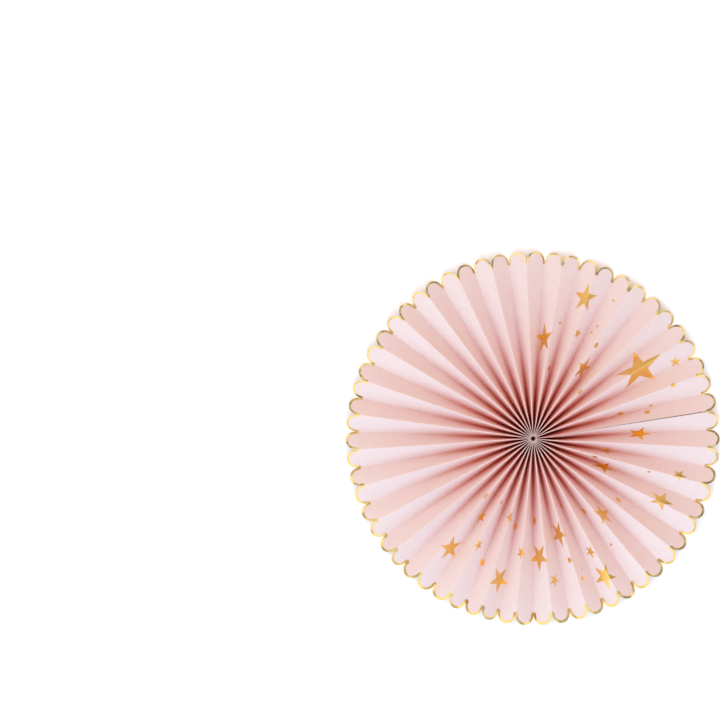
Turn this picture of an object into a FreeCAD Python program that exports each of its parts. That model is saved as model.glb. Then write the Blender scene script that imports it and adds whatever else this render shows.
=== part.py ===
"""Paper fan rosette: one long strip of card, pleated across, gathered into a full circle and
scalloped along its outer edge.

The frame is in millimetres. The rosette lies face up on its back folds: the origin is the middle of
the hub on the plane of those folds, +Z is the axis and +X points to the right of the face.

Every panel between two folds keeps the flat width that it was scored to. At a radius r it has only
the share k * r of the circle to lie in, so its height makes up the rest:

    height(r) = sqrt(panel_width^2 - (k * r - fold_width)^2)

The panels stand upright and packed against each other at the hub, and lie at about a third of a right
angle at the rim. A ridge seen from the side is an arc of an ellipse, and the folds at the back all
lie on one plane. A panel twists on its way out, so it is built of flat facets, in steps of equal turn.
"""

import FreeCAD, Part

import math
import os

from FreeCAD import Placement, Rotation, Vector

doc = FreeCAD.newDocument("paper_fan_rosette")

# Driving dimensions: alias, value, meaning. Lengths are in millimetres and angles in degrees.
DIMENSIONS = [
    ("pleat_count", 31, "ridges in the full circle"),
    ("panel_width", 22.5, "flat width of a panel, from score line to score line"),
    ("tip_radius", 203.2, "centre to the tip of a scallop"),
    ("scallop_depth", 11.4, "tip to notch of a scallop"),
    ("card", 0.22, "thickness of the card"),
    ("pack_gap", 0.045, "air left between the card layers that pack the hub"),
    ("seam_azimuth", 9.7, "direction of the ridge where the strip's two ends meet"),
    ("thread_ring", 7.0, "radius of the thread's loop about the axis"),
    ("thread_height", 11.3, "height of the thread's loop above the back folds"),
    ("thread_radius", 0.35, "radius of the binding thread"),
    ("thread_play", 0.2, "clearance of the thread in its punched holes"),
    ("tape_share", 0.4, "part of each end panel's width that the seam tape covers"),
    ("tape_start", 45.0, "radius at which the seam tape starts"),
    ("tape_end", 175.0, "radius at which the seam tape ends"),
    ("tape_film", 0.08, "thickness of the tape's film"),
    ("tape_glue", 0.04, "thickness of the tape's glue line"),
]

sizes = doc.addObject("Spreadsheet::Sheet", "Sizes")
for row, (alias, value, meaning) in enumerate(DIMENSIONS, start=1):
    sizes.set(f"A{row}", alias)
    sizes.set(f"B{row}", str(value))
    sizes.set(f"C{row}", meaning)
    sizes.setAlias(f"B{row}", alias)
doc.recompute()

pleat_count = int(sizes.pleat_count)
panel_width = float(sizes.panel_width)
tip_radius = float(sizes.tip_radius)
card = float(sizes.card)
tape_glue = float(sizes.tape_glue)
tape_film = float(sizes.tape_film)

# What follows from the driving dimensions
panel_angle = math.pi / pleat_count
chord_share = 2 * math.sin(panel_angle / 2)
fold_width = card + float(sizes.pack_gap)
hub_radius = fold_width / chord_share
notch_radius = tip_radius - float(sizes.scallop_depth)

FACET_STEPS = 8
SCALLOP_FLATS = 8
OVERCUT = 1.0
FLATNESS = 1e-6
LEFT = 1
RIGHT = -1
UP = Vector(0, 0, 1)
AXIS = Vector(0, 0, 0)


def slope(radius):
    """Angle between a panel and the back plane at this radius."""
    run = chord_share * radius - fold_width
    return math.acos(min(1.0, run / panel_width))


def stations():
    """Radii of the facets' ends, from the hub to past the rim, in equal steps of the slope."""
    first, last = slope(hub_radius), slope(tip_radius + OVERCUT)
    slopes = [first + (last - first) * step / FACET_STEPS for step in range(FACET_STEPS + 1)]
    return [(panel_width * math.cos(angle) + fold_width) / chord_share for angle in slopes]


def polar(radius, angle, aside, height):
    """The point at a radius along a direction, set aside from it to the left, at a height."""
    along = Vector(math.cos(angle), math.sin(angle), 0)
    return along * radius + UP.cross(along) * aside + UP * height


def ridge_line(side, depth):
    """Where a panel meets the flat land of its ridge, at a depth behind the card's middle layer.

    The ridge lies along +X, with one panel to its LEFT and one to its RIGHT. The corner is mitred,
    so the land narrows as it goes deeper, down to a point where the two panels' layers meet.
    """
    points = []
    for radius in stations():
        mitre = math.tan(slope(radius) / 2)
        height = card / 2 + panel_width * math.sin(slope(radius))
        aside = fold_width / 2 - depth * mitre
        meeting = max(0.0, -aside) * math.tan(slope(radius))
        points.append(polar(radius, 0, side * max(0.0, aside), height - depth - meeting))
    return points


def valley_line(side, depth):
    """Where the same panel meets the flat land of the back fold beside it."""
    points = []
    for radius in stations():
        aside = fold_width / 2 + depth * math.tan(slope(radius) / 2)
        points.append(polar(radius, side * panel_angle, -side * aside, card / 2 - depth))
    return points


def valley_middle(side, depth):
    """The middle of that back fold's land, where one pleat meets the next."""
    return [polar(radius, side * panel_angle, 0, card / 2 - depth) for radius in stations()]


def flat_face(*corners):
    """Flat face on a closed polygon."""
    return Part.Face(Part.makePolygon([*corners, corners[0]]))


def facets(first, second):
    """Flat faces between two lines of points: one to a step, or two triangles where it twists."""
    faces = []
    for near_a, far_a, near_b, far_b in zip(first, first[1:], second, second[1:]):
        normal = (far_a - near_a).cross(far_b - near_a)
        if abs(normal.dot(near_b - near_a)) < FLATNESS * normal.Length:
            faces.append(flat_face(near_a, far_a, far_b, near_b))
        elif near_a.z > near_b.z:
            faces += [flat_face(near_a, far_a, far_b), flat_face(near_a, far_b, near_b)]
        else:
            faces += [flat_face(near_a, far_a, near_b), flat_face(far_a, far_b, near_b)]
    return faces


def closed_solid(faces):
    """Solid bounded by faces that meet edge to edge."""
    joined = Part.Compound(faces)
    joined.sewShape()
    solid = Part.makeSolid(joined.Shells[0])
    if solid.Volume < 0:
        solid.reverse()
    return solid


def bent_card(front, back):
    """Solid between the long lines along the card's front and those along its back."""
    faces = facets(front[0], back[0]) + facets(front[-1], back[-1])
    for lines in (front, back):
        for first, second in zip(lines, lines[1:]):
            faces += facets(first, second)
    for end in (0, -1):
        faces += facets([line[end] for line in front], [line[end] for line in back])
    return closed_solid(faces)


def panel_lines(side, depth):
    """Long lines of one panel at a depth, from the back fold's middle to the ridge."""
    return [valley_middle(side, depth), valley_line(side, depth), ridge_line(side, depth)]


def pleat_blank():
    """Two panels and the ridge between them, from back fold to back fold, before any cutting."""
    front, back = (
        panel_lines(LEFT, depth) + panel_lines(RIGHT, depth)[::-1] for depth in (-card / 2, card / 2)
    )
    return bent_card(front, back)


def end_panel_blank():
    """One end of the strip: a single panel with its free edge along the ridge."""
    return bent_card(panel_lines(LEFT, -card / 2), panel_lines(LEFT, card / 2))


def lining_lines(depth):
    """Long lines of a film behind two panels, clear of the hub, where they leave no room for one."""
    top = [Vector(point.x, 0, point.z) for point in ridge_line(LEFT, depth)]
    return [line[1:] for line in (valley_line(LEFT, depth), top, valley_line(RIGHT, depth))]


def lining_blank():
    """Thin film stuck behind the seam's two end panels, over their whole width."""
    near = card / 2 + tape_glue
    return bent_card(lining_lines(near), lining_lines(near + tape_film))


def scallop_outline():
    """Plan of the whole rim: half an ellipse in short flats for each panel, from notch to notch."""
    half_width = notch_radius * math.sin(panel_angle / 2)
    base = notch_radius * math.cos(panel_angle / 2)
    corners = []
    for panel in range(2 * pleat_count):
        middle = (panel + 0.5) * panel_angle
        for flat in range(SCALLOP_FLATS):
            turn = math.pi * flat / SCALLOP_FLATS
            out = base + (tip_radius - base) * math.sin(turn)
            corners.append(polar(out, middle, -half_width * math.cos(turn), 0))
    return flat_face(*corners)


def tape_outline():
    """Plan of the seam tape: the same share of both end panels, between its two radii."""
    half_angle = float(sizes.tape_share) * panel_angle
    start, end = float(sizes.tape_start), float(sizes.tape_end)
    corners = [(start, -half_angle), (end, -half_angle), (end, half_angle), (start, half_angle)]
    return flat_face(*(polar(radius, angle, 0, 0) for radius, angle in corners))


def without_contacts(pleat, directions):
    """A pleat's faces without those in the upright planes where it meets its neighbours."""
    kept = []
    for face in pleat.Faces:
        middle = face.CenterOfMass
        radius = math.hypot(middle.x, middle.y)
        direction = math.atan2(middle.y, middle.x)
        if all(abs(direction - plane) * radius > fold_width / 100 for plane in directions):
            kept.append(face)
    return Part.Compound(kept)


def turned(shape, angle):
    """A copy of a shape, turned about the axis by an angle in degrees."""
    copy = shape.copy()
    copy.rotate(AXIS, UP, angle)
    return copy


def whole_strip(pleat, end_panel):
    """Every pleat but one, with an end panel at each side of the seam's ridge, as one solid."""
    pleat_faces = without_contacts(pleat, (panel_angle, -panel_angle))
    left_end = without_contacts(end_panel, (panel_angle,))
    right_end = left_end.mirror(AXIS, Vector(0, 1, 0))
    pitch = 360 / pleat_count
    parts = [left_end, right_end]
    parts += [turned(pleat_faces, pitch * i) for i in range(1, pleat_count)]
    return turned(closed_solid([face for part in parts for face in part.Faces]), sizes.seam_azimuth)


def shaped(name, shape):
    """Object of the document that holds a shape worked out above."""
    made = doc.addObject("Part::Feature", name)
    made.Label = name
    made.Shape = shape
    return made


def prism_on(name, outline, top):
    """Upright prism on a plan outline, up to a height given by an expression."""
    prism = doc.addObject("Part::Extrusion", name)
    prism.Base = shaped(name + "_plan", outline)
    prism.DirMode = "Custom"
    prism.Dir = UP
    prism.Solid = True
    prism.setExpression("LengthFwd", top)
    prism.setExpression("LengthRev", "Sizes.card * 1 mm")
    return prism


def combined(kind, name, base, tool):
    """Boolean object of two others."""
    result = doc.addObject(kind, name)
    result.Label = name
    result.Base = base
    result.Tool = tool
    return result


def polygon_across(name, corners, circumradius):
    """Regular polygon across the thread's path, where it passes the middle of a pleat."""
    polygon = doc.addObject("Part::RegularPolygon", name)
    polygon.Polygon = corners
    polygon.Placement = Placement(AXIS, Rotation(Vector(1, 0, 0), 90))
    polygon.setExpression("Circumradius", circumradius)
    polygon.setExpression("Placement.Base.x", "Sizes.thread_ring * 1 mm")
    polygon.setExpression("Placement.Base.z", "Sizes.thread_height * 1 mm")
    return polygon


# Tools that cut the card: the scalloped rim, and the needle that pierces a pleat's two panels
rim = prism_on("scalloped_rim", scallop_outline(), "(Sizes.panel_width + 2 * Sizes.card) * 1 mm")
needle = doc.addObject("Part::Extrusion", "needle")
hole_corner = "(Sizes.thread_radius + Sizes.thread_play) * 1 mm / cos(30 deg)"
needle.Base = polygon_across("needle_point", 6, hole_corner)
needle.DirMode = "Custom"
needle.Dir = Vector(0, 1, 0)
needle.Solid = True
needle.Symmetric = True
needle.setExpression("LengthFwd", "Sizes.thread_ring * 1 mm")

# The card, one pleat and one end panel at a time, and then the whole strip
punched = []
for name, blank in (("pleat", pleat_blank()), ("end_panel", end_panel_blank())):
    trimmed = combined("Part::Common", name + "_trimmed", shaped(name + "_blank", blank), rim)
    punched.append(combined("Part::Cut", name + "_punched", trimmed, needle))
doc.recompute()
pleated_sheet = shaped("pleated_sheet", whole_strip(*(item.Shape for item in punched)))

# The tape behind the seam
tape_area = prism_on("tape_area", tape_outline(), "(Sizes.panel_width + 2 * Sizes.card) * 1 mm")
seam_tape = combined("Part::Common", "seam_tape", shaped("lining", lining_blank()), tape_area)
seam_tape.setExpression("Placement.Rotation.Angle", "Sizes.seam_azimuth * 1 deg")

# The thread that draws the hub together
binding_thread = doc.addObject("Part::Revolution", "binding_thread")
binding_thread.Source = polygon_across("thread_section", 6, "Sizes.thread_radius * 1 mm")
binding_thread.Axis = UP
binding_thread.Solid = True
doc.recompute()

for item in doc.Objects:
    if "Invalid" in item.State or "Error" in item.State:
        raise RuntimeError(f"{item.Label} failed to build")

os.makedirs("parts", exist_ok=True)
for piece in (pleated_sheet, seam_tape, binding_thread):
    shape = piece.Shape
    if shape.isNull() or not shape.isValid() or len(shape.Solids) != 1:
        raise RuntimeError(f"{piece.Label} is not one valid solid")
    shape.exportStep(f"parts/{piece.Label}.step")
    print(piece.Label, round(shape.Volume, 2), "mm3", len(shape.Faces), "faces")
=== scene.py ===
import math

import bmesh
import bpy
import numpy as np
from bpy.props import FloatProperty, FloatVectorProperty, IntProperty, PointerProperty
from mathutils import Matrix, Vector


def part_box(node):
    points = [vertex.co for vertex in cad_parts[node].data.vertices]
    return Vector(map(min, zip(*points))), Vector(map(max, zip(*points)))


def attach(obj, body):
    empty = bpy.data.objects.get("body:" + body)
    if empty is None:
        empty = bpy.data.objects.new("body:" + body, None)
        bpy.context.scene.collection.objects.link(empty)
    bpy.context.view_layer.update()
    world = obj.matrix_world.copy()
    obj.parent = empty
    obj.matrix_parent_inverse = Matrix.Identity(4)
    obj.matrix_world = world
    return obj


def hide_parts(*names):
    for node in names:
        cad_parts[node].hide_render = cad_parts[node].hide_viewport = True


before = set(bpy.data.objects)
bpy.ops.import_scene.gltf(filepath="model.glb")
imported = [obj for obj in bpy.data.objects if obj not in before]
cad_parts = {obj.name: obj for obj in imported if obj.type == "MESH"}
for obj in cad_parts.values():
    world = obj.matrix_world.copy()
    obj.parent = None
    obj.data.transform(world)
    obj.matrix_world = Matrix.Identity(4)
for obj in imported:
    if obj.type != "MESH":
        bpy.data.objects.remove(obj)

bl_info = {
    "name": "Paper Fan Rosette",
    "version": (1, 0, 0),
    "blender": (4, 5, 0),
    "location": "View3D > Sidebar > Rosette",
    "description": "A pleated card rosette with a scalloped, foil-edged rim, foil stars and foil dots",
    "category": "Add Mesh",
}

MM = 0.001
SHEET_LOW, SHEET_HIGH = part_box("pleated_sheet")
RIM_RADIUS = float(max(SHEET_HIGH[0], SHEET_HIGH[1], -SHEET_LOW[0], -SHEET_LOW[1]))
SHEET_HEIGHT = float(SHEET_HIGH[2] - SHEET_LOW[2])
TAPE_NODE = "seam_tape"
WHITE = (1.0, 1.0, 1.0, 1.0)


def linear(colour):
    """sRGB hex string to linear red, green, blue and alpha."""
    parts = [int(colour[i : i + 2], 16) / 255 for i in (1, 3, 5)]
    return tuple(c / 12.92 if c <= 0.04045 else ((c + 0.055) / 1.055) ** 2.4 for c in parts) + (1.0,)


class RosetteSheet(bpy.types.PropertyGroup):
    """The strip of card and how it is pleated."""

    pleats: IntProperty(
        name="Pleats",
        description="Ridges in the full circle",
        default=31,
        min=5,
    )
    panel_width: FloatProperty(
        name="Panel width",
        description="Flat width of a panel between two folds",
        default=22.5 * MM,
        unit="LENGTH",
    )
    card: FloatProperty(
        name="Card",
        description="Thickness of the card",
        default=0.22 * MM,
        unit="LENGTH",
    )
    pack_gap: FloatProperty(
        name="Pack gap",
        description="Air between the card layers that pack the hub",
        default=0.045 * MM,
        unit="LENGTH",
    )
    tip_radius: FloatProperty(
        name="Tip radius",
        description="Centre to the tip of a scallop",
        default=RIM_RADIUS,
        unit="LENGTH",
    )
    scallop_depth: FloatProperty(
        name="Scallop depth",
        description="Tip to notch of a scallop",
        default=11.4 * MM,
        unit="LENGTH",
    )
    seam: FloatProperty(
        name="Seam",
        description="Direction of the ridge where the strip's two ends meet",
        default=math.radians(9.1),
        subtype="ANGLE",
    )


class RosettePrint(bpy.types.PropertyGroup):
    """The foil print."""

    edge_width: FloatProperty(
        name="Edge width",
        description="Width of the foil line along the scallops",
        default=2.35 * MM,
        unit="LENGTH",
    )
    foil: FloatProperty(
        name="Foil",
        description="How far the foil stands proud of the card",
        default=0.05 * MM,
        unit="LENGTH",
    )
    star_waist: FloatProperty(
        name="Star waist",
        description="Inner radius of a star as a part of its outer radius",
        default=0.37,
    )


class RosetteColours(bpy.types.PropertyGroup):
    """Colours of the finishes."""

    card: FloatVectorProperty(
        name="Card",
        description="Blush card",
        subtype="COLOR",
        size=4,
        default=linear("#F2D9D5"),
    )
    # Painted shade: the card's colour partway down the folds of the hub, darkened to stand in for the
    # shade there
    rose: FloatVectorProperty(
        name="Rose",
        description="Card part way into the folds of the hub",
        subtype="COLOR",
        size=4,
        default=linear("#E99B89"),
    )
    # Painted shade: the card's colour at the bottom of the folds of the hub, where the shade is darkest
    deep: FloatVectorProperty(
        name="Deep rose",
        description="Card at the bottom of the folds of the hub",
        subtype="COLOR",
        size=4,
        default=linear("#82453A"),
    )
    # Painted shade: near black card where the folds pack the hub, standing in for the shade between its
    # layers
    painted_hub_shade: FloatVectorProperty(
        name="Hollow",
        description="Card where the folds pack the hub",
        subtype="COLOR",
        size=4,
        default=linear("#260806"),
    )
    # Partly worn card and partly painted highlight: the paler card along the ridges, strongest near the
    # hub, where it stands in for light on the ridges
    fold: FloatVectorProperty(
        name="Fold",
        description="Card along a worn fold",
        subtype="COLOR",
        size=4,
        default=linear("#FEDCD3"),
    )
    gold: FloatVectorProperty(
        name="Gold",
        description="Stamped gold foil",
        subtype="COLOR",
        size=4,
        default=linear("#F2C670"),
    )
    edge: FloatVectorProperty(
        name="Edge gold",
        description="Gold foil along the scallops",
        subtype="COLOR",
        size=4,
        default=linear("#DCC078"),
    )
    # Partly the tape's own tint and partly painted shade: it is darkened so that the seam's gap, seen
    # through the tape, shows dark
    film: FloatVectorProperty(
        name="Film",
        description="Clear tape with its glue",
        subtype="COLOR",
        size=4,
        default=linear("#C09A8C"),
    )
    thread: FloatVectorProperty(
        name="Thread",
        description="Cotton thread",
        subtype="COLOR",
        size=4,
        default=linear("#F1E6DA"),
    )
    # Painted shade: the darker thread colour in the grooves between its plies
    twist: FloatVectorProperty(
        name="Twist",
        description="Cotton thread between its plies",
        subtype="COLOR",
        size=4,
        default=linear("#CDBBAA"),
    )
    floor: FloatVectorProperty(
        name="Floor",
        description="Pale floor",
        subtype="COLOR",
        size=4,
        default=linear("#F4F2F0"),
    )


# A fold's flat land is this part of a panel to each side, and the seam's two ends are cut this far
# from the middle of their ridge
LAND = 0.008
CUT = LAND + 0.018
# An outline's edge that is narrower than this, in panels, runs straight out along a fold
FINE = 1e-9
# Foil starts this far inside the card's face, so that no gap shows under it, and the foil line
# stops this far short of the cut
FOIL_ROOT = 0.02 * MM
# A patch of foil has this many steps across a panel. Columns closer than this, in panels, are
# one, and an outline's edges reach this far past their ends, so that no column misses them.
PATCH_STEPS = 14
MERGE = 1e-5
SLACK = 1e-7
# A patch is at least this high
HAIR = 0.04 * MM

# How far, in degrees, hand-set folds have drifted round from even spacing: fold number, drift
FOLD_DRIFT = [
    (0, 0), (8, 1.5), (14, 2.2), (22, 1.6), (32, 0.7), (38, 1.6), (46, 0.4), (54, -0.3), (62, 0),
]
# All of them have turned back by this many degrees
MEAN_DRIFT = 0.35
# The drift is full from this distance outwards, and fades to this part of itself at the hub
DRIFT_REACH = 30 * MM
LEAST_DRIFT = 0.15

# How far, in degrees, the thread has pulled folds round near the hub: fold number, turn
HUB_PULL = [
    (0, -3.9), (1, 0.5), (2, 1.5), (4, 1.3), (6.5, 0.2), (9, 0.9), (11, 1.5), (14, 0.8), (18, 0),
    (36, -0.4), (41, -0.2), (44, 0.7), (48, 0), (52, -1.1), (54, -2.0), (56, -3.9), (58, -5.2),
    (61, -4.8), (62, -3.9),
]
# The pull fades outwards over the first of these, and inwards where the folds pack the hub
PULL_REACH = 42 * MM
PACKED_HUB = 9 * MM

# Unevenness of hand folding, drawn from a seed: a fold's turn at the rim and near the hub in
# radians, and a panel's bow
SEED = 31
RIM_JITTER = 0.012
HUB_JITTER = 0.045
PANEL_BOW = 0.5 * MM
BOW_JITTER = 0.3 * MM
# A panel never spreads quite flat: its chord is at most this part of its width
FLATTEST = 0.98

# Steps of the sheet's grid across a panel, and its rows from the hub to the rim, which lie
# closer together towards the rim by this power
PANEL_STEPS = 11
SHEET_ROWS = 46
ROW_POWER = 0.9
# Shading is smooth over edges that bend less than this
SHARP_EDGE = math.radians(40)

# How far out from the hub the card's tones reach: the painted shade down the folds, the painted shade in
# the mouths of the folds, and the imported layers
PAINTED_SHADE_REACH = 70 * MM
MOUTH_REACH = 24 * MM
CORE_REACH = 12 * MM

# The print lies a little off the cut, so the foil line is widest on one side, by this part
PRINT_SLIP = math.radians(260)
SLIP_SHARE = 0.17
# Below a notch the line's end turns this far about it, and on the fold it goes down by this part
# of the line's width
END_TURN = math.radians(82)
END_SHARE = 0.97
# Points along the line's arc, along each of its ends and across it
ARC_POINTS = 29
END_POINTS = 7
LINE_POINTS = 3

# Stars: direction in degrees, distance from the centre in mm, height in mm, lean in degrees
STARS = [
    (2.5, 116, 22, 4), (33.1, 137.6, 47, -3), (54.5, 93.5, 24, -6), (66.9, 124, 10, 5),
    (83.4, 109.3, 27, -10), (69.6, 163, 27, -8), (28.2, 176.5, 11, 6), (236.9, 102, 13, 4),
    (242.9, 130, 11, -5), (233.1, 149, 25, 3), (253.5, 89, 13, 10), (256.6, 158, 25, -6),
    (264.1, 125, 12, -8), (273.1, 129, 26, 2), (278.7, 156, 12, -4), (285.2, 107.5, 25, -5),
    (297, 138, 12, 6), (297.5, 169, 25, 8), (312.5, 112, 24, -12), (307.5, 42, 7, 0),
    (338.1, 82.5, 24, 0), (350.4, 81, 13, -4), (334.2, 154.7, 23, -9), (345.9, 164, 13, 4),
]
# A star is stamped this many times its listed height, and this many millimetres more
STAR_SPREAD = 1.07
STAR_MARGIN = 1.8
# Rows of faces over each fifth of a star
STAR_ROWS = 6

# Dots: direction in degrees, distance from the centre in mm, width in mm
DOTS = [
    (26.7, 67, 6.5), (45, 72, 7), (63, 64.5, 5.5), (77, 78, 6.5), (15.8, 99, 7),
    (12.9, 128, 6.5), (15.5, 133.5, 3.8), (55.9, 122.5, 6.5), (60.9, 132, 3.2), (60, 141, 3.3),
    (59.6, 174, 3.3), (76.7, 129, 3.8), (20.7, 163, 5.4), (230.5, 80.5, 6.5), (243.5, 77.5, 4.5),
    (258.8, 97.5, 7.6), (271.3, 89.5, 7.6), (248, 145.5, 7.6), (293, 79.5, 5.4),
    (286.8, 138, 6.5), (290.6, 152, 2.2), (289.5, 161.3, 4.3), (305.3, 97, 6.5),
    (306.4, 143.5, 3.3), (324.2, 114.5, 6.5), (343.6, 70, 6), (344.9, 54.5, 3.3),
    (344, 131, 3.3), (338.5, 51, 3),
]
# Corners of a dot, and rows of faces over it
DOT_CORNERS = 24
DOT_ROWS = 4

# The tape: how far short of its solid it stops near the hub and near the rim, the part of each end
# panel that it covers, the depths of its two faces behind the card's back, and the points of
# their grids along the tape and across each half of it
TAPE_INSETS = (0.6 * MM, 3 * MM)
TAPE_COVER = (0.05, 0.4)
TAPE_DEPTHS = (0.05 * MM, 0.13 * MM)
TAPE_POINTS = (40, 7)

# The camera's frame at the rosette's face: its width, and its middle, left of the rosette and above
FRAME_WIDTH = 782 * MM
FRAME_MIDDLE = (-187.7 * MM, 85.2 * MM)
# Focal length and sensor width in millimetres: a long lens, so that the view is nearly flat
LENS = 300
SENSOR = 36
# The floor reaches this many metres each way, and each lamp's light spreads this much
FLOOR_REACH = 4.0
LAMP_SPREAD = math.radians(60)


def fade(distance, reach):
    """Bell curve: e to the minus square of distance over reach, so 1 at no distance."""
    return np.exp(-((distance / reach) ** 2))


class Pleats:
    """The card's surface as a function of two parameters.

    One runs along the strip and counts panels, so that a whole number is a fold: an even one is a
    ridge and an odd one a back fold. The other is the distance from the hub, measured along a fold.
    A fold lies straight out from the axis at its own direction. A ridge's height keeps the panels
    beside it at their flat width: height squared = width squared - (chord - land) squared. Each
    fold has a narrow flat land, and a panel is the straight line from one land to the next.
    """

    def __init__(self, sheet):
        self.count = 2 * sheet.pleats
        self.width = sheet.panel_width
        self.card = sheet.card
        self.land = sheet.card + sheet.pack_gap
        self.seam = sheet.seam
        half = math.pi / self.count
        self.hub = self.land / (2 * math.sin(half))
        self.tip = sheet.tip_radius / math.cos(half)
        self.notch = sheet.tip_radius - sheet.scallop_depth
        self.folds = np.arange(self.count + 1)
        draw = np.random.default_rng(SEED)
        # Each fold shares its neighbours' jitter by these weights
        soft = np.array([1.0, 2.0, 3.0, 2.0, 1.0]) / 9
        spare = len(soft) - 1
        self.rim_drift = np.radians(np.interp(self.folds, *zip(*FOLD_DRIFT)) - MEAN_DRIFT)
        jitter = draw.normal(0, RIM_JITTER, self.count + 1 + spare)
        self.rim_drift += np.convolve(jitter, soft, "valid")
        self.rim_drift[-1] = self.rim_drift[0]
        self.hub_drift = np.radians(np.interp(self.folds, *zip(*HUB_PULL)))
        jitter = draw.normal(0, HUB_JITTER, self.count + 1 + spare)
        self.hub_drift[1:-1] += np.convolve(jitter, soft, "valid")[1:-1]
        self.bow = draw.normal(PANEL_BOW, BOW_JITTER, self.count)

    def direction(self, fold, out):
        """Direction of a fold at a distance from the hub: even spacing, its drift, a swirl at the hub."""
        swirl = self.hub_drift[fold] * fade(out, PULL_REACH) * np.clip(out / PACKED_HUB, 0, 1)
        settle = np.clip(out / DRIFT_REACH, LEAST_DRIFT, 1)
        even = self.seam + fold * 2 * math.pi / self.count
        return even + self.rim_drift[fold] * settle + swirl

    def chord(self, panel, out):
        """Plan distance between a panel's two folds, less the land."""
        turn = self.direction(panel + 1, out) - self.direction(panel, out)
        return np.clip(2 * out * np.sin(turn / 2) - self.land, 0, self.width * FLATTEST)

    def height(self, fold, out):
        """Height of a fold's middle layer: none at the back, what the flat width leaves in front."""
        before = np.where(fold == 0, self.count - 1, fold - 1)
        after = np.where(fold == self.count, 0, fold)
        run = (self.chord(before, out) + self.chord(after, out)) / 2
        return np.where(fold % 2 == 0, np.sqrt(self.width**2 - run**2), 0.0)

    def corner(self, fold, side, out, depth):
        """Where a fold's land meets the panel to one side, at a depth behind the middle layer."""
        panel = np.clip(np.where(side > 0, fold, fold - 1), 0, self.count - 1)
        slope = np.arccos(np.clip(self.chord(panel, out) / self.width, 0, 1))
        ridge = np.where(fold % 2 == 0, 1.0, -1.0)
        aside = self.land / 2 - ridge * depth * np.tan(slope / 2)
        return self.place(fold, out, side * aside, self.card / 2 + self.height(fold, out) - depth)

    def place(self, fold, out, aside, height):
        """The point out along a fold, set aside to its left, at a height."""
        turn = self.direction(fold, out)
        x = out * np.cos(turn) - aside * np.sin(turn)
        y = out * np.sin(turn) + aside * np.cos(turn)
        return np.stack([x, y, height + 0 * x], axis=-1)

    def point(self, along, out, depth):
        """The card's point for its two parameters, at a depth behind its middle layer.

        Between two lands it is the straight line across the panel, raised in the middle by the
        panel's bow times a half sine. On a land it runs straight to the middle of the fold.
        """
        panel = np.clip(np.floor(along), 0, self.count - 1).astype(int)
        share = along - panel
        across = np.clip((share - LAND) / (1 - 2 * LAND), 0, 1)[..., None]
        start = self.corner(panel, 1.0, out, depth)
        end = self.corner(panel + 1, -1.0, out, depth)
        spot = start + (end - start) * across
        belly = np.sin(math.pi * across[..., 0]) * self.bow[panel]
        belly = belly * np.clip(out / self.notch, 0, 1) ** 2
        spot[..., 2] += belly * np.where(share < 1, 1, 0)
        for fold, near in ((panel, 1 - share / LAND), (panel + 1, 1 - (1 - share) / LAND)):
            level = self.card / 2 + self.height(fold, out) - depth
            middle = self.place(fold, out, 0.0, level)
            spot += (middle - spot) * np.clip(near, 0, 1)[..., None]
        return spot

    def layer(self, along, out, front, back):
        """Closed box that follows the card between two depths: its points and its faces."""
        along = np.broadcast_to(along, out.shape)
        grids = [self.point(along, out, depth).reshape(-1, 3) for depth in (front, back)]
        return np.concatenate(grids), box_faces(*out.shape)

    def print_layer(self, along, out, proud):
        """Closed box of foil on the card's front, which stands proud of it by this much."""
        return self.layer(along, out, -self.card / 2 - proud, -self.card / 2 + FOIL_ROOT)

    def rim(self, along):
        """Distance out to the scalloped edge: half an ellipse over each panel."""
        across = np.clip((along % 1 - LAND) / (1 - 2 * LAND), 0, 1)
        rise = np.sqrt(np.clip(1 - (2 * across - 1) ** 2, 0, 1))
        return self.notch + (self.tip - self.notch) * rise

    def strip_place(self, direction, distance):
        """Where on the flat strip a place on the face lies, from degrees and millimetres."""
        out = distance * MM
        folds = self.direction(self.folds, np.full(self.count + 1, out))
        turn = (math.radians(direction) - folds[0]) % (2 * math.pi) + folds[0]
        return np.array([float(np.interp(turn, folds, self.folds)), out])


def columns(first, last, steps):
    """Places along the strip for a grid's columns: in each panel their distance from the fold goes
    as 1 minus a cosine, so that they lie closer together towards it."""
    bend = (1 - np.cos(np.linspace(0, math.pi, steps + 1))) / 2
    inside = LAND + (1 - 2 * LAND) * bend
    panels = np.arange(math.floor(first), math.ceil(last))[:, None]
    every = np.unique(np.concatenate([panels + inside[None, :], panels + 1.0], axis=None))
    every = np.union1d(every, [first, last])
    return every[(every >= first) & (every <= last)]


def box_faces(rows, cols):
    """Faces of a closed box of two grids, front then back, with walls round their edges."""
    grid = np.arange(rows * cols).reshape(rows, cols)
    corners = [grid[:-1, :-1], grid[1:, :-1], grid[1:, 1:], grid[:-1, 1:]]
    front = np.stack(corners, -1).reshape(-1, 4)
    back = front[:, [0, 3, 2, 1]] + rows * cols
    loop = np.concatenate([grid[0, :-1], grid[:-1, -1], grid[-1, :0:-1], grid[:0:-1, 0]])
    ahead = np.roll(loop, -1)
    walls = np.stack([loop, ahead, ahead + rows * cols, loop + rows * cols], -1)
    return np.concatenate([front, back, walls])


def mesh_piece(name, points, faces, flat=None):
    """Object at the origin from arrays of points and faces, with its map of the flat strip if given."""
    mesh = bpy.data.meshes.new(name)
    mesh.from_pydata(points.tolist(), [], faces.tolist())
    if flat is not None:
        layer = mesh.uv_layers.new(name="strip")
        corner = np.empty(len(mesh.loops), dtype=np.int64)
        mesh.loops.foreach_get("vertex_index", corner)
        layer.data.foreach_set("uv", flat[corner].astype(np.float32).ravel())
    mesh.validate()
    mesh.update()
    piece = bpy.data.objects.new(name, mesh)
    bpy.context.scene.collection.objects.link(piece)
    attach(piece, "root")
    return piece


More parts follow.
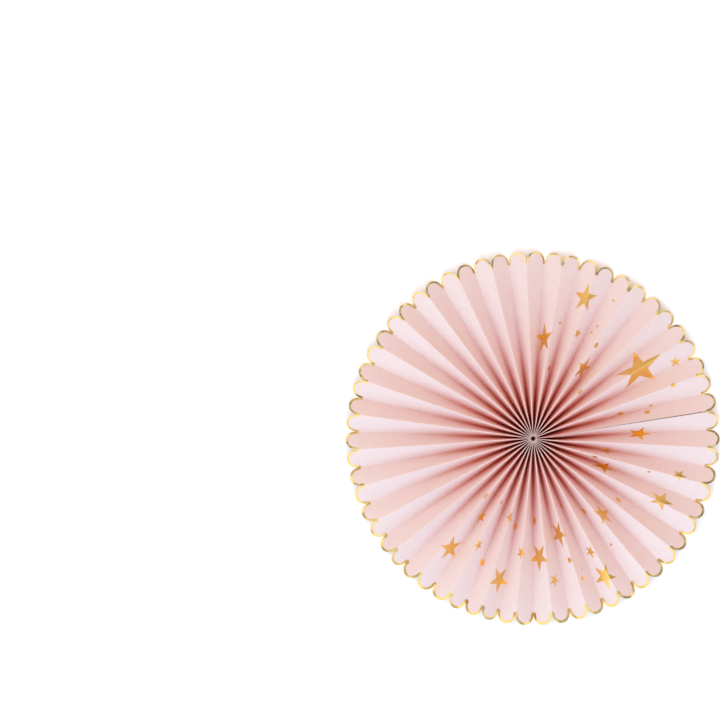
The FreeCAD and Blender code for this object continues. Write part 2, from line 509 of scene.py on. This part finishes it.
def outward(piece):
    """Turn a piece's faces outwards."""
    shape = bmesh.new()
    shape.from_mesh(piece.data)
    bmesh.ops.recalc_face_normals(shape, faces=shape.faces)
    shape.to_mesh(piece.data)
    shape.free()


def finish(piece, material):
    """Give a piece its material, and smooth shading that stops at its sharp edges."""
    piece.data.materials.clear()
    piece.data.materials.append(material)
    smooth = np.ones(len(piece.data.polygons), dtype=bool)
    piece.data.polygons.foreach_set("use_smooth", smooth)
    piece.data.set_sharp_from_angle(angle=SHARP_EDGE)
    piece.data.update()


def add_node(tree, kind, inputs=None, **settings):
    """Add a shader node, set its settings and fill or link its inputs."""
    node = tree.nodes.new(kind)
    for key, value in settings.items():
        setattr(node, key, value)
    for key, value in (inputs or {}).items():
        if isinstance(value, bpy.types.NodeSocket):
            tree.links.new(value, node.inputs[key])
        else:
            node.inputs[key].default_value = value
    return node


def new_material(name):
    """Empty node material, its tree and its principled shader."""
    material = bpy.data.materials.new(name)
    material.use_nodes = True
    return material, material.node_tree, material.node_tree.nodes["Principled BSDF"]


def dyed_card(colours):
    """Card, calendered, dyed blush and left uncoated: a matte face with faint pulp mottling and fine
    tooth. It is a little paler along the ridges, where the dyed skin has cracked and, near the hub, as a
    painted highlight. Down the folds of the hub its colour is painted darker and redder, as painted
    shade for the light that passes from panel to panel there."""
    material, tree, shader = new_material("dyed_card")
    strip = add_node(tree, "ShaderNodeUVMap", uv_map="strip").outputs["UV"]
    # The strip's map is in millimetres. Pulp flocs in card are 5 to 10 mm across, and its tooth of
    # about 0.3 mm is drawn at 0.6 mm so that it shows.
    pulp = add_node(tree, "ShaderNodeTexNoise", {"Vector": strip, "Scale": 1 / 9, "Detail": 4.0})
    tooth = add_node(tree, "ShaderNodeTexNoise", {"Vector": strip, "Scale": 1 / 0.6, "Detail": 2.0})
    # Paler along the ridges: worn card, and painted highlight near the hub
    worn = add_node(tree, "ShaderNodeAttribute", attribute_name="fold_wear_and_highlight")
    # Painted shade: through this ramp the card darkens and reddens down the folds of the hub, standing in
    # for the shade there
    painted_shade = add_node(tree, "ShaderNodeAttribute", attribute_name="painted_fold_shade")
    painted_shade_ramp = add_node(tree, "ShaderNodeValToRGB", {"Fac": painted_shade.outputs["Fac"]})
    ramp = painted_shade_ramp.color_ramp.elements
    ramp[0].color = tuple(colours.card)
    ramp[1].color = tuple(colours.painted_hub_shade)
    ramp.new(0.5).color = tuple(colours.rose)
    ramp.new(0.86).color = tuple(colours.deep)
    paler = add_node(
        tree,
        "ShaderNodeMix",
        {0: worn.outputs["Fac"], 6: painted_shade_ramp.outputs["Color"], 7: tuple(colours.fold)},
        data_type="RGBA",
    )
    dye = add_node(
        tree,
        "ShaderNodeMapRange",
        {"Value": pulp.outputs["Fac"], "From Min": 0.3, "From Max": 0.7, "To Min": 0.92, "To Max": 1.08},
    )
    mottle = add_node(
        tree,
        "ShaderNodeHueSaturation",
        {"Color": paler.outputs[2], "Saturation": dye.outputs[0]},
    )
    bump = add_node(
        tree,
        "ShaderNodeBump",
        {"Height": tooth.outputs["Fac"], "Strength": 0.25, "Distance": 0.05 * MM},
    )
    tree.links.new(mottle.outputs["Color"], shader.inputs["Base Color"])
    tree.links.new(bump.outputs["Normal"], shader.inputs["Normal"])
    shader.inputs["Roughness"].default_value = 0.85
    shader.inputs["IOR"].default_value = 1.47
    shader.inputs["Specular IOR Level"].default_value = 0.03
    return material


def foil(name, colour, crease, dull, bright):
    """Hot-stamped gold foil: a thin metal film that follows the card's tooth and the press's marks,
    so that its shine is broken up."""
    material, tree, shader = new_material(name)
    place = add_node(tree, "ShaderNodeTexCoord").outputs["Object"]
    # The card's tooth shows through the film as dimples of about 0.6 mm
    tooth = add_node(tree, "ShaderNodeTexNoise", {"Vector": place, "Scale": 1 / (0.6 * MM)})
    fine = add_node(
        tree,
        "ShaderNodeBump",
        {"Height": tooth.outputs["Fac"], "Strength": 0.25, "Distance": 0.05 * MM},
    )
    # The card under the film ripples every 13 mm or so
    ripple = add_node(
        tree,
        "ShaderNodeTexNoise",
        {"Vector": place, "Scale": 1 / (13 * MM), "Detail": 0.0},
    )
    coarse = add_node(
        tree,
        "ShaderNodeBump",
        {
            "Height": ripple.outputs["Fac"],
            "Normal": fine.outputs["Normal"],
            "Strength": 1.0,
            "Distance": crease,
        },
    )
    # Fingers dull the film in patches of about 14 mm
    rub = add_node(
        tree,
        "ShaderNodeTexNoise",
        {"Vector": place, "Scale": 1 / (14 * MM), "Detail": 3.0},
    )
    satin = add_node(
        tree,
        "ShaderNodeMapRange",
        {
            "Value": rub.outputs["Fac"],
            "From Min": 0.35,
            "From Max": 0.65,
            "To Min": bright,
            "To Max": dull,
        },
    )
    tree.links.new(coarse.outputs["Normal"], shader.inputs["Normal"])
    tree.links.new(satin.outputs[0], shader.inputs["Roughness"])
    shader.inputs["Base Color"].default_value = tuple(colour)
    shader.inputs["Metallic"].default_value = 1.0
    return material


def stamped_foil(colours):
    """Foil of the stars and dots: satin, and nearly flat."""
    return foil("stamped_foil", colours.gold, crease=0.2 * MM, dull=0.42, bright=0.30)


def cut_edge_foil(colours):
    """Foil of the cut edge: brighter, and rippled by the cutting die."""
    return foil("cut_edge_foil", colours.edge, crease=8.0 * MM, dull=0.36, bright=0.26)


def acetate_film(colours):
    """Matte clear tape: a see-through acetate film with a faint cross grain."""
    material, tree, shader = new_material("acetate_film")
    place = add_node(tree, "ShaderNodeTexCoord").outputs["Object"]
    # The film's grain is about 1 mm long
    grain = add_node(tree, "ShaderNodeTexNoise", {"Vector": place, "Scale": 1 / (1.0 * MM)})
    bump = add_node(
        tree,
        "ShaderNodeBump",
        {"Height": grain.outputs["Fac"], "Strength": 0.2, "Distance": 0.02 * MM},
    )
    tree.links.new(bump.outputs["Normal"], shader.inputs["Normal"])
    # The film's tint is darkened as painted shade, so that the seam's gap shows dark through it
    shader.inputs["Base Color"].default_value = tuple(colours.film)
    shader.inputs["Roughness"].default_value = 0.22
    shader.inputs["Specular IOR Level"].default_value = 0.1
    shader.inputs["Transmission Weight"].default_value = 0.97
    return material


def spun_cotton(colours):
    """Twisted cotton thread: matte, with slanting plies and painted shade in the lines between them."""
    material, tree, shader = new_material("spun_cotton")
    place = add_node(tree, "ShaderNodeTexCoord").outputs["Object"]
    # A thread of 0.7 mm has a ply every 3.6 mm or so, and at a scale of 1 the diagonal bands lie
    # 0.363 apart
    plies = add_node(
        tree,
        "ShaderNodeTexWave",
        {"Vector": place, "Scale": 0.363 / (3.63 * MM), "Distortion": 1.5},
        bands_direction="DIAGONAL",
    )
    tone = add_node(tree, "ShaderNodeValToRGB", {"Fac": plies.outputs["Fac"]})
    # The bands between the plies are painted shade
    tone.color_ramp.elements[0].color = tuple(colours.twist)
    tone.color_ramp.elements[1].color = tuple(colours.thread)
    tree.links.new(tone.outputs["Color"], shader.inputs["Base Color"])
    shader.inputs["Roughness"].default_value = 0.85
    return material


def convex_patch(pleats, outline, proud, rows):
    """Closed thin patch of foil over a convex outline drawn on the flat strip.

    The outline's corners are (along, out). At each place along the strip, the patch runs from the
    outline's lowest to its highest crossing, in even steps, and it follows the card's front. At
    its pointed ends it is still a hair high, so that it stays closed.
    """
    along, out = outline[:, 0], outline[:, 1]
    every = np.union1d(columns(along.min(), along.max(), PATCH_STEPS), along)
    every = every[np.concatenate([[True], np.diff(every) > MERGE])][None, :]
    next_along, next_out = np.roll(along, -1), np.roll(out, -1)
    low = np.minimum(along, next_along)[:, None]
    high = np.maximum(along, next_along)[:, None]
    width = np.where(np.abs(next_along - along) < FINE, 1.0, next_along - along)
    crossing = out[:, None] + (every - along[:, None]) * ((next_out - out) / width)[:, None]
    inside = (every >= low - SLACK) & (every <= high + SLACK) & (high - low > FINE)
    bottom = np.where(inside, crossing, np.inf).min(axis=0)
    top = np.maximum(np.where(inside, crossing, -np.inf).max(axis=0), bottom + HAIR)
    across = bottom + (top - bottom) * np.linspace(0, 1, rows + 1)[:, None]
    return pleats.print_layer(every, across, proud)


def joined(patches):
    """Points and faces of several patches as one."""
    sizes = np.cumsum([0] + [len(points) for points, _ in patches[:-1]])
    return (
        np.concatenate([points for points, _ in patches]),
        np.concatenate([faces + start for (_, faces), start in zip(patches, sizes)]),
    )


def settings():
    """The three groups of settings on the scene."""
    scene = bpy.context.scene
    return scene.rosette_sheet, scene.rosette_print, scene.rosette_colours


def shared_material(name, maker):
    """The material of this name, made on its first use."""
    return bpy.data.materials.get(name) or maker(settings()[2])


class ROSETTE_OT_sheet(bpy.types.Operator):
    """Make the pleated strip of card"""

    bl_idname = "rosette.sheet"
    bl_label = "Pleated sheet"

    def execute(self, context):
        pleats = Pleats(settings()[0])
        along = columns(CUT, pleats.count - CUT, PANEL_STEPS)
        steps = np.linspace(0, 1, SHEET_ROWS)[:, None] ** ROW_POWER
        out = pleats.hub + (pleats.rim(along) - pleats.hub)[None, :] * steps
        spread = np.broadcast_to(along[None, :], out.shape)
        points, faces = pleats.layer(spread, out, -pleats.card / 2, pleats.card / 2)
        flat = np.stack([spread * pleats.width / MM, out / MM], -1).reshape(-1, 2)
        piece = mesh_piece("card_strip", points, faces, np.concatenate([flat, flat]))
        # The card's worn ridges with painted highlight, and its painted shade down the folds
        wear_and_highlight, depth = self.tones(pleats, spread, out)
        for name, value in (("fold_wear_and_highlight", wear_and_highlight), ("painted_fold_shade", depth)):
            layer = piece.data.attributes.new(name, "FLOAT", "POINT")
            layer.data.foreach_set("value", np.tile(value.ravel(), 2).astype(np.float32))
        outward(piece)
        finish(piece, shared_material("dyed_card", dyed_card))
        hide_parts("pleated_sheet")
        return {"FINISHED"}

    @staticmethod
    def tones(pleats, spread, out):
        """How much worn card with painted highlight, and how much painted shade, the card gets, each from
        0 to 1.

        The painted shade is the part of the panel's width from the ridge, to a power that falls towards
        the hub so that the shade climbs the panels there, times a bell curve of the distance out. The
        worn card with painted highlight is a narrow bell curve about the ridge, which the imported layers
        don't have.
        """
        from_ridge = np.abs((spread + 1) % 2 - 1)
        near_hub = fade(out, PAINTED_SHADE_REACH)
        mouth = fade(out, MOUTH_REACH)
        depth = near_hub * from_ridge ** (1.3 - 0.4 * near_hub**2 - 0.7 * mouth)
        # Outside the mouth, the painted shade eases a little towards the back fold
        depth *= 1 - 0.1 * from_ridge**2 * (1 - mouth)
        # The end panel stands open, so that light gets down it and its painted shade is lighter
        depth *= 1 - 0.75 * np.clip(spread - (pleats.count - 1), 0, 1)
        # Worn lines with painted highlight fade over 3 mm, and over a little more in the mouth, and are
        # faint at the rim
        worn = fade(from_ridge * pleats.width, (3.0 + 0.4 * mouth) * MM)
        # Near the hub this paler line is painted highlight on the ridges as well as worn card
        wear_and_highlight = worn * (0.12 + 0.88 * near_hub) * (1 - fade(out, CORE_REACH))
        return wear_and_highlight, depth


class ROSETTE_OT_foil_edge(bpy.types.Operator):
    """Make the foil line along every scallop"""

    bl_idname = "rosette.foil_edge"
    bl_label = "Foil edge"

    def execute(self, context):
        sheet, ink, _ = settings()
        pleats = Pleats(sheet)
        half = pleats.width / 2
        deep = pleats.tip - pleats.notch
        turn = np.linspace(0, math.pi, ARC_POINTS)
        tuck = np.linspace(END_TURN, 0, END_POINTS)[:-1]
        steps = np.linspace(0, 1, LINE_POINTS)[:, None]
        flip = np.array([[-1.0], [1.0]])
        patches = []
        for panel in range(pleats.count):
            facing = (panel + 0.5) * 2 * math.pi / pleats.count + pleats.seam
            wide = ink.edge_width * (1 + SLIP_SHARE * math.cos(facing - PRINT_SLIP))
            # From fold to fold: a rounded end below the notch, the arc, and the other rounded end
            inner = np.stack([(half - wide) * np.cos(turn), (deep - wide) * np.sin(turn)])
            outer = np.stack([half * np.cos(turn), deep * np.sin(turn)])
            end = np.stack([half - wide * np.cos(tuck), -wide * np.sin(tuck)])
            fold = np.stack([half + 0 * tuck, -END_SHARE * wide * np.sin(tuck)])
            inner = np.concatenate([end, inner, flip * end[:, ::-1]], axis=1)
            outer = np.concatenate([fold, outer, flip * fold[:, ::-1]], axis=1)
            aside, out = inner[:, None, :] + (outer - inner)[:, None, :] * steps[None]
            out = out + pleats.notch - FOIL_ROOT
            along = panel + LAND + (1 - 2 * LAND) * np.clip(0.5 - aside / (2 * half), 0, 1)
            along = np.clip(along, CUT, pleats.count - CUT)
            patches.append(pleats.print_layer(along, out, ink.foil))
        piece = mesh_piece("foil_edge", *joined(patches))
        outward(piece)
        finish(piece, shared_material("cut_edge_foil", cut_edge_foil))
        return {"FINISHED"}


class ROSETTE_OT_stars(bpy.types.Operator):
    """Stamp the foil stars"""

    bl_idname = "rosette.stars"
    bl_label = "Foil stars"

    def execute(self, context):
        sheet, ink, _ = settings()
        pleats = Pleats(sheet)
        corner = np.arange(10)
        patches = []
        for direction, distance, height, lean in STARS:
            centre = pleats.strip_place(direction, distance)
            # A star stands as high as its outer radius times 1 plus the cosine of 36 degrees
            tall = (STAR_SPREAD * height + STAR_MARGIN) * MM
            outer = tall / (1 + math.cos(math.pi / 5))
            turn = math.pi / 2 + math.radians(lean) + corner * math.pi / 5
            reach = outer * np.where(corner % 2 == 0, 1.0, ink.star_waist)
            around = np.stack([reach * np.cos(turn) / pleats.width, reach * np.sin(turn)], -1)
            edge = centre + around
            for tip in range(0, 10, 2):
                kite = np.array([centre, edge[tip - 1], edge[tip], edge[(tip + 1) % 10]])
                patches.append(convex_patch(pleats, kite, ink.foil, STAR_ROWS))
        piece = mesh_piece("foil_stars", *joined(patches))
        outward(piece)
        finish(piece, shared_material("stamped_foil", stamped_foil))
        return {"FINISHED"}


class ROSETTE_OT_dots(bpy.types.Operator):
    """Stamp the foil dots"""

    bl_idname = "rosette.dots"
    bl_label = "Foil dots"

    def execute(self, context):
        sheet, ink, _ = settings()
        pleats = Pleats(sheet)
        turn = np.linspace(0, 2 * math.pi, DOT_CORNERS, endpoint=False)
        round_edge = np.stack([np.cos(turn) / pleats.width, np.sin(turn)], -1)
        patches = []
        for direction, distance, width in DOTS:
            centre = pleats.strip_place(direction, distance)
            edge = centre + round_edge * width * MM / 2
            patches.append(convex_patch(pleats, edge, ink.foil, DOT_ROWS))
        piece = mesh_piece("foil_dots", *joined(patches))
        outward(piece)
        finish(piece, shared_material("stamped_foil", stamped_foil))
        return {"FINISHED"}


class ROSETTE_OT_seam_tape(bpy.types.Operator):
    """Lay the tape behind the seam"""

    bl_idname = "rosette.seam_tape"
    bl_label = "Seam tape"

    def execute(self, context):
        pleats = Pleats(settings()[0])
        low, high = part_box(TAPE_NODE)
        start = math.hypot(low[0], low[1]) + TAPE_INSETS[0]
        end = math.hypot(high[0], high[1]) - TAPE_INSETS[1]
        out = np.linspace(start, end, TAPE_POINTS[0])[:, None]
        share = np.linspace(*TAPE_COVER, TAPE_POINTS[1])[None, :]
        films = []
        for behind in TAPE_DEPTHS:
            depth = 0.5 * pleats.card + behind
            left = self.wing(pleats, share, out, depth, 1)
            right = self.wing(pleats, share, out, depth, -1)
            films.append(np.concatenate([left[:, ::-1], right], axis=1))
        points = np.concatenate([film.reshape(-1, 3) for film in films])
        piece = mesh_piece("clear_tape", points, box_faces(*films[0].shape[:2]))
        outward(piece)
        finish(piece, shared_material("acetate_film", acetate_film))
        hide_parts(TAPE_NODE)
        return {"FINISHED"}

    @staticmethod
    def wing(pleats, share, out, depth, side):
        """One half of the tape, stuck on the back of an end panel from near the ridge downwards."""
        share, out = np.broadcast_arrays(share, out)
        ridge = LAND if side > 0 else pleats.count - LAND
        return pleats.point(ridge + side * (1 - 2 * LAND) * share, out, depth)


class ROSETTE_OT_thread(bpy.types.Operator):
    """Finish the binding thread"""

    bl_idname = "rosette.thread"
    bl_label = "Binding thread"

    def execute(self, context):
        finish(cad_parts["binding_thread"], shared_material("spun_cotton", spun_cotton))
        return {"FINISHED"}


def mirror_rays(tree):
    """Light paths, and the output that is 1 on a ray that metal reflects or clear film lets through."""
    paths = add_node(tree, "ShaderNodeLightPath")
    seen = add_node(
        tree,
        "ShaderNodeMath",
        {0: paths.outputs["Is Glossy Ray"], 1: paths.outputs["Is Transmission Ray"]},
        operation="MAXIMUM",
    )
    return paths, seen.outputs[0]


def floor_material(colours):
    """Painted board: matte and pale. Round the rosette it is lifted to plain white for the camera and
    in reflections, and it keeps the rosette's shadow."""
    material, tree, shader = new_material("painted_floor")
    shader.inputs["Base Color"].default_value = tuple(colours.floor)
    shader.inputs["Roughness"].default_value = 0.9
    paths, seen = mirror_rays(tree)
    sees = add_node(
        tree,
        "ShaderNodeMath",
        {0: seen, 1: paths.outputs["Is Camera Ray"]},
        operation="MAXIMUM",
    )
    place = add_node(tree, "ShaderNodeTexCoord").outputs["Object"]
    away = add_node(tree, "ShaderNodeVectorMath", {0: place}, operation="LENGTH")
    # The lift starts just inside the rim
    beyond = add_node(
        tree,
        "ShaderNodeMapRange",
        {
            "Value": away.outputs["Value"],
            "From Min": 0.93 * RIM_RADIUS,
            "From Max": 0.96 * RIM_RADIUS,
            "To Max": 0.22,
        },
    )
    lift = add_node(
        tree,
        "ShaderNodeMath",
        {0: sees.outputs[0], 1: beyond.outputs[0]},
        operation="MULTIPLY",
    )
    tree.links.new(lift.outputs[0], shader.inputs["Emission Strength"])
    shader.inputs["Emission Color"].default_value = WHITE
    return material


def studio_world():
    """Soft daylight tent: a warm even fill, which metal and clear film see as white walls with darker
    patches, and the camera as plain white."""
    world = bpy.data.worlds.new("studio")
    world.use_nodes = True
    tree = world.node_tree
    fill = tree.nodes["Background"]
    fill.inputs["Color"].default_value = (1.0, 0.768, 0.652, 1.0)
    fill.inputs["Strength"].default_value = 0.88
    look = add_node(tree, "ShaderNodeTexCoord").outputs["Generated"]
    # The lamps' side of the tent is bright, and the far side is the unlit room
    side = add_node(
        tree,
        "ShaderNodeVectorMath",
        {0: look, 1: (-0.35, -0.45, 0.82)},
        operation="DOT_PRODUCT",
    )
    patches = add_node(tree, "ShaderNodeTexNoise", {"Vector": look, "Scale": 2.5, "Detail": 1.0})
    spread = add_node(
        tree,
        "ShaderNodeMath",
        {0: patches.outputs["Fac"], 1: side.outputs["Value"]},
        operation="ADD",
    )
    tone = add_node(
        tree,
        "ShaderNodeMapRange",
        {"Value": spread.outputs[0], "From Min": 0.3, "From Max": 1.2, "To Min": 0.25, "To Max": 1.6},
    )
    walls = add_node(tree, "ShaderNodeBackground", {"Color": WHITE, "Strength": tone.outputs[0]})
    plain = add_node(tree, "ShaderNodeBackground", {"Color": WHITE})
    paths, seen = mirror_rays(tree)
    both = add_node(
        tree,
        "ShaderNodeMixShader",
        {0: seen, 1: fill.outputs[0], 2: walls.outputs[0]},
    )
    shown = add_node(
        tree,
        "ShaderNodeMixShader",
        {0: paths.outputs["Is Camera Ray"], 1: both.outputs[0], 2: plain.outputs[0]},
    )
    tree.links.new(shown.outputs[0], tree.nodes["World Output"].inputs["Surface"])
    return world


def lamp(name, towards, strength, colour):
    """Soft sun lamp that shines from a direction and doesn't show in the foil."""
    data = bpy.data.lights.new(name, "SUN")
    data.energy = strength
    data.color = colour
    data.angle = LAMP_SPREAD
    lit = bpy.data.objects.new(name, data)
    bpy.context.scene.collection.objects.link(lit)
    lit.rotation_euler = Vector(towards).to_track_quat("Z", "Y").to_euler()
    lit.visible_glossy = False


class ROSETTE_OT_stage(bpy.types.Operator):
    """Set the floor, the lamps and the camera"""

    bl_idname = "rosette.stage"
    bl_label = "Stage"

    def execute(self, context):
        scene = context.scene
        corners = [(-1, -1), (1, -1), (1, 1), (-1, 1)]
        spread = [(x * FLOOR_REACH, y * FLOOR_REACH, 0.0) for x, y in corners]
        mesh = bpy.data.meshes.new("floor")
        mesh.from_pydata(spread, [], [(0, 1, 2, 3)])
        floor = bpy.data.objects.new("floor", mesh)
        scene.collection.objects.link(floor)
        floor.data.materials.append(floor_material(settings()[2]))

        # A cool lamp from below the face and a weaker one from its left. With the warm fill they
        # come to about white.
        lamp("low_key", (0.17, -0.98, 0.9), 1.66, (0.15, 0.64, 1.0))
        lamp("side_key", (-1.0, 0.0, 0.9), 0.92, (0.48, 0.86, 1.0))
        scene.world = studio_world()
        # Light reaches the bottoms of the folds only after many bounces
        scene.cycles.diffuse_bounces = 12
        scene.cycles.max_bounces = 16
        scene.view_settings.view_transform = "Standard"

        # The camera looks straight down
        data = bpy.data.cameras.new("camera")
        data.sensor_width = SENSOR
        data.lens = LENS
        camera = bpy.data.objects.new("camera", data)
        camera.location = (*FRAME_MIDDLE, SHEET_HEIGHT / 2 + FRAME_WIDTH * LENS / SENSOR)
        scene.collection.objects.link(camera)
        scene.camera = camera
        return {"FINISHED"}


class ROSETTE_PT_panel(bpy.types.Panel):
    """The rosette's pieces and settings"""

    bl_idname = "ROSETTE_PT_panel"
    bl_label = "Paper fan rosette"
    bl_space_type = "VIEW_3D"
    bl_region_type = "UI"
    bl_category = "Rosette"

    def draw(self, context):
        column = self.layout.column()
        for group in settings():
            for name in group.__annotations__:
                column.prop(group, name)
        for operator in OPERATORS:
            column.operator(operator.bl_idname)


GROUPS = (RosetteSheet, RosettePrint, RosetteColours)
OPERATORS = (
    ROSETTE_OT_sheet,
    ROSETTE_OT_foil_edge,
    ROSETTE_OT_stars,
    ROSETTE_OT_dots,
    ROSETTE_OT_seam_tape,
    ROSETTE_OT_thread,
    ROSETTE_OT_stage,
)


def register():
    for cls in (*GROUPS, *OPERATORS, ROSETTE_PT_panel):
        bpy.utils.register_class(cls)
    bpy.types.Scene.rosette_sheet = PointerProperty(type=RosetteSheet)
    bpy.types.Scene.rosette_print = PointerProperty(type=RosettePrint)
    bpy.types.Scene.rosette_colours = PointerProperty(type=RosetteColours)


def unregister():
    del bpy.types.Scene.rosette_sheet
    del bpy.types.Scene.rosette_print
    del bpy.types.Scene.rosette_colours
    for cls in reversed((*GROUPS, *OPERATORS, ROSETTE_PT_panel)):
        bpy.utils.unregister_class(cls)


def main():
    """Register the add-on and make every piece."""
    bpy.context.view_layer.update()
    register()
    bpy.ops.rosette.sheet()
    bpy.ops.rosette.foil_edge()
    bpy.ops.rosette.stars()
    bpy.ops.rosette.dots()
    bpy.ops.rosette.seam_tape()
    bpy.ops.rosette.thread()
    bpy.ops.rosette.stage()


if __name__ == "__main__":
    main()
